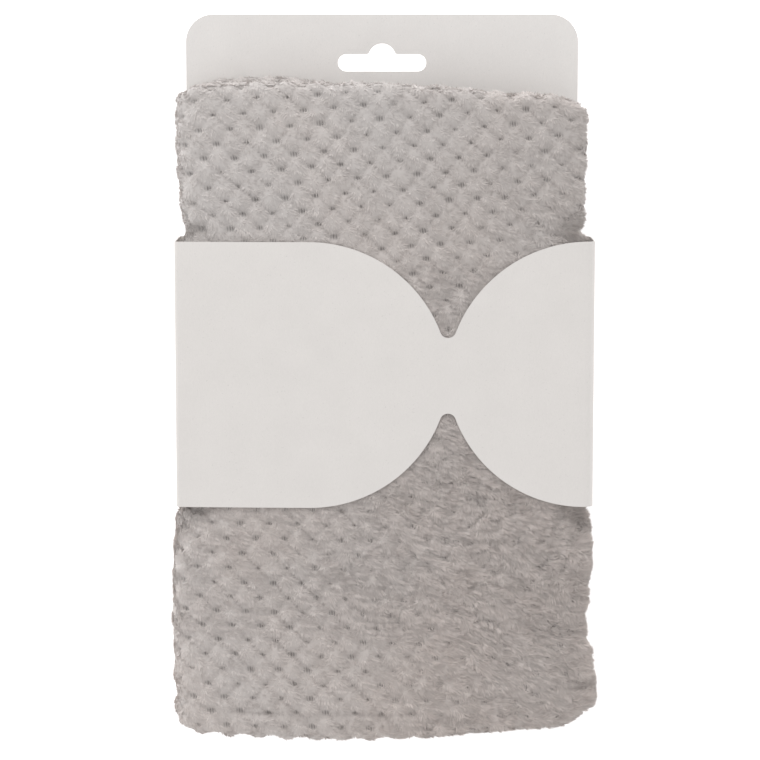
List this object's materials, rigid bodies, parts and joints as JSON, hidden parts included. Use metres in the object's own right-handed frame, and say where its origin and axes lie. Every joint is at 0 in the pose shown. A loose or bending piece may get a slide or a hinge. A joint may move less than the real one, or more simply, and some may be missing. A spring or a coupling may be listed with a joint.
{
  "type": "hair turban towel on a hanging card with a card sleeve",
  "caption": "Waffle-fleece hair turban towel folded flat on a card with a hanging slot, held by a scalloped card sleeve.",
  "frame": {"origin": "under the middle of the pack's outline, on the surface it lies on", "axes": "+Z out of the front of the pack, +Y toward the hanging slot, +X to the right of the front"},
  "size_m": [0.155, 0.2636, 0.0285],
  "materials": {
    "waffle_fleece": "soft grey-taupe coral fleece with a waffle of puffs and small knit holes",
    "card_stock": "uncoated pale grey board, matt",
    "sleeve_stock": "uncoated pale grey board, matt, bare of print"
  },
  "bodies": {
    "root": {"towel": "waffle_fleece", "hanging_card": "card_stock", "card_sleeve": "sleeve_stock"}
  },
  "joints": []
}
